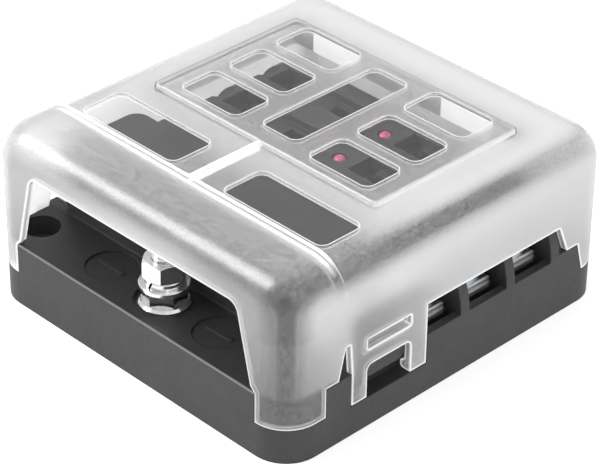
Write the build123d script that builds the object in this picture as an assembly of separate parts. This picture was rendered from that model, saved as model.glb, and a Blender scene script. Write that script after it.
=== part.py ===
from build123d import *
import os
from math import cos, radians, sin

# Six way blade fuse box with a clear cover that clips on.
# The origin is the middle of the underside, +Z is up, the input stud faces -Y,
# and the output terminals open to -X and +X. All sizes are in millimetres.

# Overall box
WIDTH = 85.0
DEPTH = 90.0
BASE_TOP = 14.3
COVER_TOP = 38.5
HOOD_RISE = 1.2
CORNER_R = 7.4
HOOD_R = 7.8
COVER_WALL = 1.5

# Fits
TONGUE_GAP = 0.15
SLIDE_GAP = 0.25
PLATE_GAP = 0.2
THREAD_GAP = 0.05
METAL_GAP = 0.1
LED_GAP = 0.1

# Base moulding
WALL = 2.2
DECK_T = 2.3
BLOCK_TOP = 28.0
BLOCK_FROM_FRONT = 15.0
BLOCK_STEP = 6.2
SHOULDER_GAP = 2.2
BLOCK_CORNER_R = 3.0
BLOCK_REAR_R = 1.0
TOP_WALL = 4.6
SHOULDER_WALL = 2.2
CORE_WALL = 4.8
BOSS_WALL = 1.6
BOSS_FOOT_GAP = 1.2

# Fuse rows and output bays
ROWS = 3
ROW_PITCH = 13.1
ROW_MID = 9.8
FIN_T = 2.4
FIN_FOOT_Z = 13.4
FIN_RISE = 13.2
FIN_REACH = 11.0
SILL_T = 1.8
GROOVE_W = 2.1
GROOVE_DROP = 2.4
WELL_R = 4.4
SCREW_ROOM = 0.6
HOLE_END = 0.3

# Fuse nests in the top of the block
NEST_REACH = 11.6
NEST_HALF = 3.25
NEST_SHALLOW = 1.8
NEST_DEEP = 3.0
NEST_STEP = 4.2
NEST_CORNER_R = 0.5
NEST_WAVE = [(1.8, -1.0), (1.2, -0.45), (0.0, 0.0), (-1.0, 0.5), (-1.2, 1.0)]
BLADE_PITCH = 13.9
BLADE_FROM_WALL = 14.3
BLADE_HOLE_L = 5.3
BLADE_HOLE_W = 3.4

# Clip pockets, on the left and right walls
CLIP_FROM_FRONT = 17.4
CLIP_LEG_1 = 3.9
CLIP_SPAN = 11.8
CLIP_LEG_2 = 4.4
CLIP_FOOT_Z = 7.0
CLIP_FOOT_IN = 1.1
CLIP_FOOT_H = 1.6
CLIP_FOOT_BEVEL = 0.5
CLIP_FOOT_SLOPE = 0.7
CLIP_SHELF_H = 1.3
CLIP_SHELF_OVER = 0.3
CLIP_WINDOW_R = 1.4
CLIP_BAR_H = 3.6
CLIP_SLOT_H = 2.4
TAB_H = 3.5
TAB_OUT = 2.6
TAB_GAP = 0.4
SLIT_W = 3.6
SLIT_TOP = 21.2
SLIT_TOP_W = 1.3
SLIT_LEAN = 0.6

# Openings of the cover
TONGUE_Z = 7.7
TONGUE_FROM_SIDE = 8.1
TONGUE_FROM_FRONT = 10.5
TONGUE_FROM_REAR = 7.0
MOUTH_DROP = 7.7
MOUTH_TOP_FROM_SIDE = 13.2
MOUTH_FOOT_FROM_SIDE = 9.3
MOUTH_CHAMFER = 1.2
MOUTH_R = 2.5
SIDE_EDGE_Z = 20.6
SIDE_END_FROM_REAR = 14.6
SIDE_FOOT_FROM_REAR = 12.0
LEDGE_END_FROM_REAR = 8.7

# Top of the cover
CREST_FROM_FRONT = 15.4
PAD_FROM_SIDE = 11.3
PAD_BEFORE_ROWS = 7.7
PAD_AFTER_ROWS = 6.3
PAD_RISE = 0.9
PAD_CORNER_R = 1.0
PAD_EDGE_R = 0.4
SKIRT_T = 1.2
SKIRT_DROP = 3.6
RIB_W = 1.2
RIB_RISE = 0.8
WINDOW_R = 2.0
WINDOW_SINK = 0.35
LABEL_IN = 6.8
LABEL_FROM_SIDE = 8.5
LABEL_BEHIND_CREST = 1.9
LABEL_DEPTH = 10.8
SIGHT_REACH_IN = 8.3
SIGHT_REACH_OUT = 8.1
SIGHT_HALF = 4.9
MIDDLE_HALF = 5.0
MIDDLE_LENGTH = 32.0

# Mounting holes
MOUNT_FROM_SIDE = 6.5
MOUNT_FROM_END = 7.7
MOUNT_HOLE_D = 4.4
MOUNT_SINK_D = 8.0
MOUNT_SINK = 4.5
MOUNT_TUBE_D = 11.0

# Input stud and its nuts
STUD_FROM_FRONT = 8.7
STUD_D = 5.0
STUD_END = 26.0
STUD_HEAD_AF = 8.0
STUD_HEAD_H = 3.5
STUD_BEVEL = 0.6
NUT_AF = 8.0
FLANGE_D = 10.7
FLANGE_H = 1.2
FLANGE_NUT_H = 4.2
FLANGE_BEVEL = 0.5
NUT_BEVEL = 0.9
NUT_BEVEL_IN = 0.675
SEAT_D = 12.3
SEAT_SINK = 0.9
WASHER_D = 10.3
WASHER_T = 1.0
RING_BEVEL = 0.15
SPRING_D = 8.4
SPRING_T = 1.4
SPRING_CUT = 0.5
SPRING_CUT_LEAN = 25.0
SPRING_CUT_TURN = 97.0
TOP_NUT_H = 4.0
NUT_TURN = 9.0
FLANGE_TURN = 39.0
SIGN_X = 15.6
SIGN_D = 10.7
SIGN_SINK = 0.35
SIGN_BAR_L = 7.4
SIGN_BAR_W = 1.2

# Copper alloy parts
STRIP_T = 1.2
JAW_PLATE_REACH = 2.85
EYE_HALF = 7.0
EYE_FRONT = 6.0
EYE_R = 3.0
STRIP_AFTER_ROWS = 4.1
STRIP_FRONT = 4.0
STRIP_R = 1.5
TERMINAL_T = 1.0
TERMINAL_HALF = 4.2
TERMINAL_FROM_SIDE = 2.9
TERMINAL_CORNER_R = 1.2
JAW_W = 5.0
JAW_T = 0.7
JAW_TOP = 20.5
JAW_FOOT_GAP = 2.4
JAW_NECK_GAP = 0.7
JAW_TIP_GAP = 2.0
JAW_ROOT = 0.3
JAW_BEND = 1.5
JAW_BEND_IN = 1.2
JAW_FLARE_H = 1.6
PIN_W = 0.8
PIN_STEP = 1.5
PIN_STRIP_Y = 2.5
PIN_OVER = 0.6
TERMINAL_SCREW_FROM_SIDE = 7.2
TERMINAL_SCREW_D = 4.0
TERMINAL_SCREW_L = 9.0
SCREW_TIP_GAP = 0.5
SCREW_TIP_BEVEL = 0.5
SCREW_HEAD_D = 7.0
SCREW_HEAD_H = 2.4
SCREW_HEAD_R = 1.1
CROSS_W = 1.1
CROSS_L = 4.2
CROSS_DEEP = 1.3
CLAMP_HALF = 3.9
CLAMP_T = 1.2
CLAMP_BEVEL = 0.3

# Indicator board
BOARD_T = 1.6
BOARD_TOP = 22.4
BOARD_SIDE_GAP = 1.2
BOARD_BEFORE_ROWS = 5.7
BOARD_AFTER_ROWS = 4.7
BOARD_SLOT_L = 6.4
BOARD_SLOT_W = 2.6
BOARD_BOSS_D = 5.0
BOARD_CORNER_R = 1.0
LED_X = 2.6
LED_SHIFT = -1.3
LED_D = 3.0
LED_H = 6.0
LED_RIM_D = 3.8
LED_RIM_H = 1.0
LED_LEG_W = 0.5
LED_LEG_PITCH = 2.54
LED_LEG_L = 3.0
LED_LEG_ROOT = 0.5
CHIP_L = 3.2
CHIP_W = 1.6
CHIP_H = 0.6
CHIP_FROM_BLADES = 1.0
CHIP_SHIFT = -1.1
CHIP_BEVEL = 0.08

# Posts and small screws
POST_D = 4.6
FRONT_POST_FROM_BLOCK = 10.0
SMALL_SCREW_D = 2.5
SMALL_HEAD_D = 4.4
SMALL_HEAD_H = 1.6
SMALL_SCREW_L = 7.0
BOARD_SCREW_L = 4.6
SMALL_HEAD_R = 0.6
SMALL_CROSS_L = 2.6
SMALL_CROSS_W = 0.7
SMALL_CROSS_DEEP = 0.7
SHANK_ROOT = 0.5

# Underside plate
PLATE_T = 1.8
PLATE_SINK = 0.2
PLATE_RIM = 1.4
PLATE_NOTCH = 13.0
PLATE_SCREW_X = 18.0
PLATE_SCREW_FROM_END = 7.0
PLATE_SCREW_D = 2.9
PLATE_HEAD_D = 5.6
PLATE_BOSS_D = 6.6
PLATE_SCREW_L = 8.0
PLATE_CROSS_L = 3.36
PLATE_CROSS_DEEP = 0.8

# Places that follow from the sizes above
half_w = WIDTH / 2
half_d = DEPTH / 2
hood_top = COVER_TOP + HOOD_RISE
cover_in_x = half_w - COVER_WALL
shoulder_half = cover_in_x - SHOULDER_GAP
block_half = shoulder_half - BLOCK_STEP
block_front = BLOCK_FROM_FRONT - half_d
blade_mid = block_half - BLADE_FROM_WALL
nest_in = blade_mid - NEST_REACH
nest_out = blade_mid + NEST_REACH
clip_front = CLIP_FROM_FRONT - half_d
slit_front = clip_front - SLIT_W
tongue_x = half_w - TONGUE_FROM_SIDE
tongue_front_y = TONGUE_FROM_FRONT - half_d
tongue_rear_y = half_d - TONGUE_FROM_REAR
mouth_top = hood_top - MOUTH_DROP
mouth_top_x = half_w - MOUTH_TOP_FROM_SIDE
mouth_foot_x = half_w - MOUTH_FOOT_FROM_SIDE
side_end_y = half_d - SIDE_END_FROM_REAR
side_foot_y = half_d - SIDE_FOOT_FROM_REAR
ledge_end_y = half_d - LEDGE_END_FROM_REAR
crest_y = CREST_FROM_FRONT - half_d
pad_half = half_w - PAD_FROM_SIDE
label_out = half_w - LABEL_FROM_SIDE
label_front = crest_y + LABEL_BEHIND_CREST
label_rear = label_front + LABEL_DEPTH
sight_in = blade_mid - SIGHT_REACH_IN
sight_out = blade_mid + SIGHT_REACH_OUT
mount_x = half_w - MOUNT_FROM_SIDE
mount_y = half_d - MOUNT_FROM_END
stud_y = STUD_FROM_FRONT - half_d
terminal_out = half_w - TERMINAL_FROM_SIDE
terminal_screw_x = half_w - TERMINAL_SCREW_FROM_SIDE
plate_screw_y = half_d - PLATE_SCREW_FROM_END
row_ys = [ROW_MID + (i - (ROWS - 1) / 2) * ROW_PITCH for i in range(ROWS)]
fin_ys = [y + ROW_PITCH / 2 for y in row_ys]
bay_half = (ROW_PITCH - FIN_T) / 2
bays_front = row_ys[0] - bay_half
block_rear = fin_ys[-1] + FIN_T / 2
plate_top = PLATE_SINK + PLATE_T
deck_under = BASE_TOP - DECK_T
floor_z = FIN_FOOT_Z + METAL_GAP
floor_under = FIN_FOOT_Z - DECK_T
core_top = BLOCK_TOP - TOP_WALL
core_half = block_half - CORE_WALL
leg_1_y = clip_front + CLIP_LEG_1
leg_2_y = leg_1_y + CLIP_SPAN
clip_rear = leg_2_y + CLIP_LEG_2
bar_z = BASE_TOP
bar_top = bar_z + CLIP_BAR_H
slot_top = bar_top + CLIP_SLOT_H
blade_xs = [blade_mid - BLADE_PITCH / 2, blade_mid + BLADE_PITCH / 2]
strip_half = blade_xs[0] + JAW_PLATE_REACH
terminal_in = blade_xs[1] - JAW_PLATE_REACH
pin_x = terminal_in - PIN_STEP
chip_x = blade_mid - CHIP_FROM_BLADES
seat_z = BASE_TOP - SEAT_SINK
washer_z = seat_z + FLANGE_NUT_H
spring_z = washer_z + WASHER_T
nut_z = spring_z + SPRING_T
strip_top = deck_under
terminal_top = floor_z + TERMINAL_T
clamp_top = terminal_top + CLAMP_T
strip_pin_y = row_ys[0] - PIN_STRIP_Y
pin_top = BOARD_TOP + PIN_OVER
square_to_round = 2 ** 0.5
post_ys = [block_front + FRONT_POST_FROM_BLOCK] + fin_ys[:-1]
board_under = BOARD_TOP - BOARD_T
board_half = core_half - BOARD_SIDE_GAP
board_front = row_ys[0] - BOARD_BEFORE_ROWS
board_rear = row_ys[-1] + BOARD_AFTER_ROWS
pad_front = row_ys[0] - PAD_BEFORE_ROWS
pad_rear = row_ys[-1] + PAD_AFTER_ROWS
strip_rear = row_ys[-1] + STRIP_AFTER_ROWS
board_screw_ys = fin_ys[:-1]


def slab(x0, x1, y0, y1, z0, z1):
    # A block between two corners.
    return Pos((x0 + x1) / 2, (y0 + y1) / 2, (z0 + z1) / 2) * Box(x1 - x0, y1 - y0, z1 - z0)


def rod(x, y, z0, z1, d):
    # An upright round bar.
    return Pos(x, y, (z0 + z1) / 2) * Cylinder(d / 2, z1 - z0)


def both_sides(shape):
    # A shape and its mirror image across the middle.
    return shape + mirror(shape, Plane.YZ)


def outline(width, depth, r_front, r_rear):
    # The plan of the box: its two front corners are rounder than its rear ones.
    hw, hd = width / 2, depth / 2
    flat = Rectangle(width, depth)
    front = [v for v in flat.vertices() if v.Y < 0]
    flat = fillet(front, r_front)
    rear = [v for v in flat.vertices() if v.Y > hd - 0.01 and abs(v.X) > hw - 0.01]
    return fillet(rear, r_rear)


def wall_plan(inset):
    # The plan drawn inwards by one distance.
    return outline(WIDTH - 2 * inset, DEPTH - 2 * inset, HOOD_R - inset, CORNER_R - inset)


def rise(plan, z0, z1):
    # A plan drawn up from one height to another.
    return Pos(0, 0, z0) * extrude(plan, z1 - z0)


def rounded_plan(x0, x1, y0, y1, r):
    # A rectangle with round corners, at its place.
    return Pos((x0 + x1) / 2, (y0 + y1) / 2) * RectangleRounded(x1 - x0, y1 - y0, r)


def prism_x(points, x0, x1):
    # A side outline, given as Y and Z, drawn along X.
    face = Plane.YZ * make_face(Polyline(*points, close=True))
    return Pos(x0, 0, 0) * extrude(face, x1 - x0)


def prism_y(points, y0, y1):
    # A front outline, given as X and Z, drawn along Y.
    face = make_face(Polyline(*[(x, 0, z) for x, z in points], close=True))
    return Pos(0, y0, 0) * extrude(face, y1 - y0, dir=(0, 1, 0))


def hexagon_bar(af, z0, z1, turn):
    # A hexagon bar, turned about its axis.
    flat = Rot(0, 0, turn) * RegularPolygon(af / 2, 6, major_radius=False)
    return Pos(0, 0, z0) * extrude(flat, z1 - z0)


def nut_body(af, z0, z1, bottom_chamfer, turn):
    # A hexagon with its corners turned off at the top, and at the bottom if asked.
    bar = hexagon_bar(af, z0, z1, turn)
    corner_r = af / 2 / cos(radians(30))
    top = Pos(0, 0, z1) * Cone(corner_r + NUT_BEVEL, corner_r - NUT_BEVEL_IN, NUT_BEVEL,
                               align=(Align.CENTER, Align.CENTER, Align.MAX))
    middle_z0 = z0 + (NUT_BEVEL if bottom_chamfer else 0)
    middle = rod(0, 0, middle_z0, z1 - NUT_BEVEL, 2 * corner_r + 1)
    keep = top + middle
    if bottom_chamfer:
        low = Pos(0, 0, z0) * Cone(corner_r - NUT_BEVEL_IN, corner_r + NUT_BEVEL, NUT_BEVEL,
                                   align=(Align.CENTER, Align.CENTER, Align.MIN))
        keep = keep + low
    return bar & keep


# Base moulding

def clip_pocket():
    # The recess behind one clip, open at the top so that the cover can lift.
    y0, y1 = clip_front - SLIDE_GAP, clip_rear + SLIDE_GAP
    return slab(shoulder_half, half_w + 1, y0, y1, CLIP_FOOT_Z - SLIDE_GAP, BLOCK_TOP)


def clip_tab():
    # The round-ended rail in the pocket, just below the clip's crossbar.
    y0 = leg_1_y + TAB_GAP
    y1 = leg_2_y - TAB_GAP
    z1 = bar_z - TAB_GAP
    face = Pos((y0 + y1) / 2, z1 - TAB_H / 2) * SlotOverall(y1 - y0, TAB_H)
    return Pos(shoulder_half - 0.2, 0, 0) * extrude(Plane.YZ * face, TAB_OUT + 0.2)


def corner_rabbets():
    # The steps at the four corners that the cover's tongues drop into.
    ring = wall_plan(0) - wall_plan(COVER_WALL + TONGUE_GAP)
    ring = rise(ring, TONGUE_Z - TONGUE_GAP, BASE_TOP)
    gap = TONGUE_GAP
    front = slab(tongue_x - gap, half_w, -half_d, tongue_front_y + gap, 0, BASE_TOP)
    rear = slab(tongue_x - gap, half_w, tongue_rear_y - gap, half_d, 0, BASE_TOP)
    slope = prism_x([(tongue_rear_y, TONGUE_Z - gap), (ledge_end_y - gap, BASE_TOP),
                     (tongue_rear_y, BASE_TOP)], tongue_x, half_w)
    return ring & both_sides(front + rear + slope)


def fin(y):
    # One divider between two bays: its outer edge is a quarter of an ellipse.
    root = half_w - FIN_REACH
    steps = 24
    curve = [(root + FIN_REACH * cos(radians(90 * i / steps)),
              FIN_FOOT_Z + FIN_RISE * sin(radians(90 * i / steps))) for i in range(steps + 1)]
    arc = Spline(*[(x, 0, z) for x, z in curve],
                 tangents=[(0, 0, 1), (-1, 0, 0)])
    rest = Polyline((root, 0, FIN_FOOT_Z + FIN_RISE), (root, 0, FIN_FOOT_Z - 1),
                    (half_w, 0, FIN_FOOT_Z - 1), (half_w, 0, FIN_FOOT_Z))
    face = make_face([arc, rest])
    return Pos(0, y - FIN_T / 2, 0) * extrude(face, FIN_T, dir=(0, 1, 0))


def bay_cuts():
    # What the bays of one side take out of the body.
    cuts = []
    for y in row_ys:
        y0, y1 = y - bay_half, y + bay_half
        cuts.append(slab(block_half, half_w + 1, y0, y1, FIN_FOOT_Z, BLOCK_TOP + 1))
        groove_x = half_w - SILL_T
        cuts.append(slab(groove_x - GROOVE_W, groove_x, y0, y1,
                         FIN_FOOT_Z - GROOVE_DROP, BLOCK_TOP))
        cuts.append(rod(terminal_screw_x, y, FIN_FOOT_Z, BLOCK_TOP + 1, 2 * WELL_R))
        cuts.append(rod(terminal_screw_x, y, terminal_top - TERMINAL_SCREW_L, BASE_TOP,
                        TERMINAL_SCREW_D + SCREW_ROOM))
        cuts.append(slab(core_half - 1, block_half + 0.1, y - TERMINAL_HALF - METAL_GAP,
                         y + TERMINAL_HALF + METAL_GAP, floor_z, terminal_top + METAL_GAP))
    return cuts


def nest(y):
    # The seat of one fuse: a shallow floor that drops in two curved steps at the blades.
    floor = rounded_plan(nest_in, nest_out, y - NEST_HALF, y + NEST_HALF,
                         NEST_CORNER_R)
    seat = rise(floor, BLOCK_TOP - NEST_SHALLOW, BLOCK_TOP + 1)
    cuts = [seat]
    for x, side in ((nest_in, 1), (nest_out, -1)):
        edge = x + side * NEST_STEP
        points = [(edge + side * dx, y + NEST_HALF * part) for dx, part in NEST_WAVE]
        wave = Spline(*points)
        rest = Polyline(points[-1], (x, y + NEST_HALF), (x, y - NEST_HALF), points[0])
        deep = make_face([wave, rest])
        cuts.append(rise(deep, BLOCK_TOP - NEST_DEEP, BLOCK_TOP))
    for x in blade_xs:
        cuts.append(slab(x - BLADE_HOLE_L / 2, x + BLADE_HOLE_L / 2, y - BLADE_HOLE_W / 2,
                         y + BLADE_HOLE_W / 2, core_top - 1, BLOCK_TOP))
    cuts.append(rod(LED_X, y + LED_SHIFT, core_top - 1, BLOCK_TOP + 1, LED_D + 2 * LED_GAP))
    return cuts


def underside_rooms():
    # The hollow of the base, seen from below, with the bosses left standing in it.
    low = rise(wall_plan(WALL), plate_top, floor_under)
    front = slab(-mount_x + MOUNT_TUBE_D / 2, mount_x - MOUNT_TUBE_D / 2, -half_d + WALL,
                 block_front + WALL, plate_top, deck_under)
    core = slab(-core_half, core_half, block_front + WALL, block_rear - WALL, plate_top, core_top)
    shoulder = slab(-shoulder_half + WALL, shoulder_half - WALL, block_front + WALL,
                    bays_front - WALL, plate_top, BLOCK_TOP - SHOULDER_WALL)
    rooms = low + front + core + shoulder
    keep = []
    for side in (-1, 1):
        for end in (-1, 1):
            keep.append(rod(side * mount_x, end * mount_y, 0, BASE_TOP, MOUNT_TUBE_D))
            keep.append(rod(side * PLATE_SCREW_X, end * plate_screw_y, 0, BASE_TOP, PLATE_BOSS_D))
        for y in row_ys:
            keep.append(rod(side * terminal_screw_x, y, plate_top + BOSS_FOOT_GAP, BASE_TOP,
                            TERMINAL_SCREW_D + SCREW_ROOM + 2 * BOSS_WALL))
        x0, x1 = sorted((side * (shoulder_half - WALL), side * half_w))
        keep.append(slab(x0, x1, clip_front - WALL, clip_rear + WALL, CLIP_FOOT_Z - WALL, BASE_TOP))
        for y in board_screw_ys:
            keep.append(rod(side * blade_mid, y, BOARD_TOP, core_top, BOARD_BOSS_D))
    for y in post_ys:
        keep.append(rod(0, y, strip_top, BLOCK_TOP - 1, POST_D))
    for shape in keep:
        rooms = rooms - shape
    return rooms


def plate_plan(inset):
    # The plan of the underside plate: a rectangle with its four corners notched.
    reach = PLATE_RIM + inset
    flat = wall_plan(reach)
    notch = PLATE_NOTCH + inset
    for sx in (-1, 1):
        for sy in (-1, 1):
            flat = flat - Pos(sx * half_w, sy * half_d) * Rectangle(2 * notch, 2 * notch)
    return flat


def deck_marks():
    # The round sign fields each side of the stud, with a bar left standing in each.
    cuts = []
    for side in (-1, 1):
        disc = rod(side * SIGN_X, stud_y, BASE_TOP - SIGN_SINK, BASE_TOP + 1, SIGN_D)
        bar = Pos(side * SIGN_X, stud_y) * SlotOverall(SIGN_BAR_L, SIGN_BAR_W)
        cuts.append(disc - rise(bar, 0, BASE_TOP + 2))
    return cuts


def screw_holes():
    # Holes for the mounting screws, the stud and the small screws.
    cuts = [rod(0, stud_y, seat_z, BASE_TOP + 1, SEAT_D),
            rod(0, stud_y, 0, BASE_TOP, STUD_D + 4 * METAL_GAP)]
    for side in (-1, 1):
        for end in (-1, 1):
            x, y = side * mount_x, end * mount_y
            cuts.append(rod(x, y, -1, BASE_TOP + 1, MOUNT_HOLE_D))
            cuts.append(rod(x, y, BASE_TOP - MOUNT_SINK, BASE_TOP + 1, MOUNT_SINK_D))
            x, y = side * PLATE_SCREW_X, end * plate_screw_y
            top = PLATE_SINK + PLATE_SCREW_L + HOLE_END
            cuts.append(rod(x, y, 0, top, PLATE_SCREW_D + 2 * THREAD_GAP))
        for y in board_screw_ys:
            top = board_under + BOARD_SCREW_L + HOLE_END
            cuts.append(rod(side * blade_mid, y, board_under, top,
                            SMALL_SCREW_D + 2 * THREAD_GAP))
    for y in fin_ys[:-1]:
        top = strip_top - STRIP_T + SMALL_SCREW_L + HOLE_END
        cuts.append(rod(0, y, strip_top - 1, top, SMALL_SCREW_D + 2 * THREAD_GAP))
    return cuts


def make_base():
    # The black moulding: tray, stepped block, bays, pockets and the hollow below.
    body = rise(wall_plan(0), 0, BASE_TOP)
    block = rise(rounded_plan(-block_half, block_half, block_front + BLOCK_CORNER_R, block_rear,
                              BLOCK_REAR_R), 1, BLOCK_TOP)
    shoulders = rise(rounded_plan(-shoulder_half, shoulder_half, block_front, bays_front,
                                  BLOCK_CORNER_R), 1, BLOCK_TOP)
    body = body + block + shoulders
    body = body + both_sides(Compound([slab(block_half - 1, half_w, bays_front - 0.01, block_rear,
                                            1, FIN_FOOT_Z)]))
    for cut in bay_cuts():
        body = body - cut - mirror(cut, Plane.YZ)
    for y in fin_ys:
        one = fin(y)
        body = body + one + mirror(one, Plane.YZ)
    pocket = clip_pocket()
    body = body - pocket - mirror(pocket, Plane.YZ)
    body = body - underside_rooms()
    body = body - rise(plate_plan(0), -1, plate_top)
    body = body - corner_rabbets()
    tab = clip_tab()
    body = body + tab + mirror(tab, Plane.YZ)
    for y in row_ys:
        for cut in nest(y):
            body = body - cut - mirror(cut, Plane.YZ)
    for cut in deck_marks() + screw_holes():
        body = body - cut
    return body


# Cover

def dome(width, depth, z0, z1, r):
    # A box with all its upright and top edges rounded alike.
    box = Pos(0, 0, (z0 + z1) / 2) * Box(width, depth, z1 - z0)
    edges = [e for e in box.edges() if e.center().Z > z0 + 0.01]
    return fillet(edges, r)


def cover_body(inset, crest):
    # The outer form of the cover, or its inner form when drawn inwards by its wall.
    w, d = WIDTH - 2 * inset, DEPTH - 2 * inset
    main = dome(w, d, CLIP_FOOT_Z, COVER_TOP - inset, CORNER_R - inset)
    hood = dome(w, d, CLIP_FOOT_Z, hood_top - inset, HOOD_R - inset)
    main = main & slab(-half_w, half_w, crest, half_d, 0, hood_top)
    hood = hood & slab(-half_w, half_w, -half_d, crest, 0, hood_top)
    return main + hood


def side_openings():
    # What is cut from one side wall: slit, clip window, slot and the terminal opening.
    x0, x1 = half_w - 4 * COVER_WALL, half_w + 1
    slit = [(tongue_front_y, 0), (tongue_front_y, BASE_TOP), (slit_front, BASE_TOP),
            (clip_front - SLIT_LEAN - SLIT_TOP_W, SLIT_TOP), (clip_front - SLIT_LEAN, SLIT_TOP),
            (clip_front, BASE_TOP), (clip_front, 0)]
    end = [(clip_rear, 0), (clip_rear, SIDE_EDGE_Z), (side_end_y, SIDE_EDGE_Z),
           (side_foot_y, BASE_TOP), (ledge_end_y, BASE_TOP), (tongue_rear_y, TONGUE_Z),
           (tongue_rear_y, 0)]
    window = slab(x0, x1, leg_1_y, leg_2_y, 0, bar_z)
    window = fillet(window.edges().filter_by(Axis.X).group_by(Axis.Z)[-1], CLIP_WINDOW_R)
    slot = slab(x0, x1, leg_1_y, leg_2_y, bar_top, slot_top)
    return prism_x(slit, x0, x1) + prism_x(end, x0, x1) + window + slot


def front_mouth():
    # The wide opening over the input stud.
    foot = BASE_TOP + MOUTH_CHAMFER
    half = [(tongue_x, 0), (tongue_x, BASE_TOP), (mouth_foot_x, foot), (mouth_top_x, mouth_top)]
    points = half + [(-x, z) for x, z in reversed(half)]
    mouth = prism_y(points, -half_d - 1, -half_d + 4 * COVER_WALL)
    top = mouth.edges().filter_by(Axis.Y).group_by(Axis.Z)[-1]
    return fillet(top, MOUTH_R)


def clip_feet():
    # The feet and the shelf that stand inwards from one clip.
    x0, x1 = cover_in_x - CLIP_FOOT_IN, cover_in_x + 0.5
    z0, z1 = CLIP_FOOT_Z, CLIP_FOOT_Z + CLIP_FOOT_H
    slope_z = z1 + CLIP_FOOT_SLOPE
    low = [(x0, z0 + CLIP_FOOT_BEVEL), (x0 + CLIP_FOOT_BEVEL, z0), (x1, z0), (x1, slope_z),
           (cover_in_x, slope_z), (x0, z1)]
    feet = prism_y(low, clip_front, leg_1_y) + prism_y(low, leg_2_y, clip_rear)
    shelf = slab(x0, x1, leg_1_y - CLIP_SHELF_OVER, leg_2_y + CLIP_SHELF_OVER,
                 bar_top - CLIP_SHELF_H, bar_top)
    return feet + shelf


def window_sinks():
    # The shallow polished windows: two over the labels, one down the middle, six over fuses.
    cuts = []
    low, high = COVER_TOP - WINDOW_SINK, COVER_TOP + PAD_RISE - WINDOW_SINK
    for side in (-1, 1):
        x0, x1 = sorted((side * LABEL_IN, side * label_out))
        plan = rounded_plan(x0, x1, label_front, label_rear, WINDOW_R)
        cuts.append(rise(plan, low, hood_top))
        x0, x1 = sorted((side * sight_in, side * sight_out))
        for y in row_ys:
            plan = rounded_plan(x0, x1, y - SIGHT_HALF, y + SIGHT_HALF, WINDOW_R)
            cuts.append(rise(plan, high, hood_top + 1))
    plan = rounded_plan(-MIDDLE_HALF, MIDDLE_HALF, ROW_MID - MIDDLE_LENGTH / 2,
                        ROW_MID + MIDDLE_LENGTH / 2, WINDOW_R)
    cuts.append(rise(plan, high, hood_top + 1))
    return cuts


def make_cover():
    # The clear cover, one moulding with its clips.
    pad = rise(rounded_plan(-pad_half, pad_half, pad_front, pad_rear, PAD_CORNER_R),
               COVER_TOP - 0.5, COVER_TOP + PAD_RISE)
    pad = fillet(pad.faces().sort_by(Axis.Z)[-1].edges(), PAD_EDGE_R)
    rib = slab(-RIB_W / 2, RIB_W / 2, crest_y - 1, pad_front + 1, COVER_TOP - 0.5,
               COVER_TOP + RIB_RISE)
    shell = cover_body(0, crest_y) + pad + rib
    shell = shell - cover_body(COVER_WALL, crest_y - COVER_WALL)
    inner = COVER_TOP - COVER_WALL
    skirt = rounded_plan(-pad_half, pad_half, pad_front, pad_rear, PAD_CORNER_R)
    room = rounded_plan(-pad_half + SKIRT_T, pad_half - SKIRT_T, pad_front + SKIRT_T,
                        pad_rear - SKIRT_T, PAD_CORNER_R)
    shell = shell + rise(skirt - room, inner - SKIRT_DROP, inner + 0.5)
    shell = shell - rise(room, inner - 0.5, inner + PAD_RISE)
    cuts = side_openings()
    shell = shell - cuts - mirror(cuts, Plane.YZ) - front_mouth()
    shell = shell - slab(-tongue_x, tongue_x, half_d - 4 * COVER_WALL, half_d + 1, 0, BASE_TOP)
    for y0, y1 in ((-half_d, tongue_front_y), (tongue_rear_y, half_d)):
        shell = shell - slab(-half_w, half_w, y0, y1, 0, TONGUE_Z)
    feet = clip_feet()
    shell = shell + feet + mirror(feet, Plane.YZ)
    for cut in window_sinks():
        shell = shell - cut
    return shell


# Input stud, nuts and washers

def make_stud():
    head = hexagon_bar(STUD_HEAD_AF, strip_top - STRIP_T - STUD_HEAD_H, strip_top - STRIP_T, 0)
    shank = rod(0, 0, strip_top - STRIP_T - 1, STUD_END, STUD_D)
    shank = chamfer(shank.faces().sort_by(Axis.Z)[-1].edges(), STUD_BEVEL)
    return Pos(0, stud_y, 0) * (head + shank)


def make_flange_nut():
    flange = Pos(0, 0, seat_z) * Cylinder(FLANGE_D / 2, FLANGE_H,
                                          align=(Align.CENTER, Align.CENTER, Align.MIN))
    flange = chamfer(flange.faces().sort_by(Axis.Z)[-1].edges(), FLANGE_BEVEL)
    body = nut_body(NUT_AF, seat_z + FLANGE_H / 2, seat_z + FLANGE_NUT_H, False, FLANGE_TURN)
    bore = rod(0, 0, 0, STUD_END, STUD_D + 2 * THREAD_GAP)
    return Pos(0, stud_y, 0) * (flange + body - bore)


def make_ring(z0, thickness, outer_d):
    ring = rod(0, stud_y, z0, z0 + thickness, outer_d)
    ring = chamfer(ring.edges(), RING_BEVEL)
    return ring - rod(0, stud_y, z0 - 1, z0 + thickness + 1, STUD_D + 4 * METAL_GAP)


def make_spring_washer():
    ring = make_ring(spring_z, SPRING_T, SPRING_D)
    cut = Pos(-SPRING_D / 4, 0, spring_z + SPRING_T / 2) * Rot(SPRING_CUT_LEAN, 0, 0) * Box(
        SPRING_D, SPRING_CUT, 3 * SPRING_T)
    return ring - Pos(0, stud_y, 0) * Rot(0, 0, SPRING_CUT_TURN) * cut


def make_top_nut():
    body = nut_body(NUT_AF, nut_z, nut_z + TOP_NUT_H, True, NUT_TURN)
    bore = rod(0, 0, 0, STUD_END, STUD_D + 2 * THREAD_GAP)
    return Pos(0, stud_y, 0) * (body - bore)


# Bus strip and terminals

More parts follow.
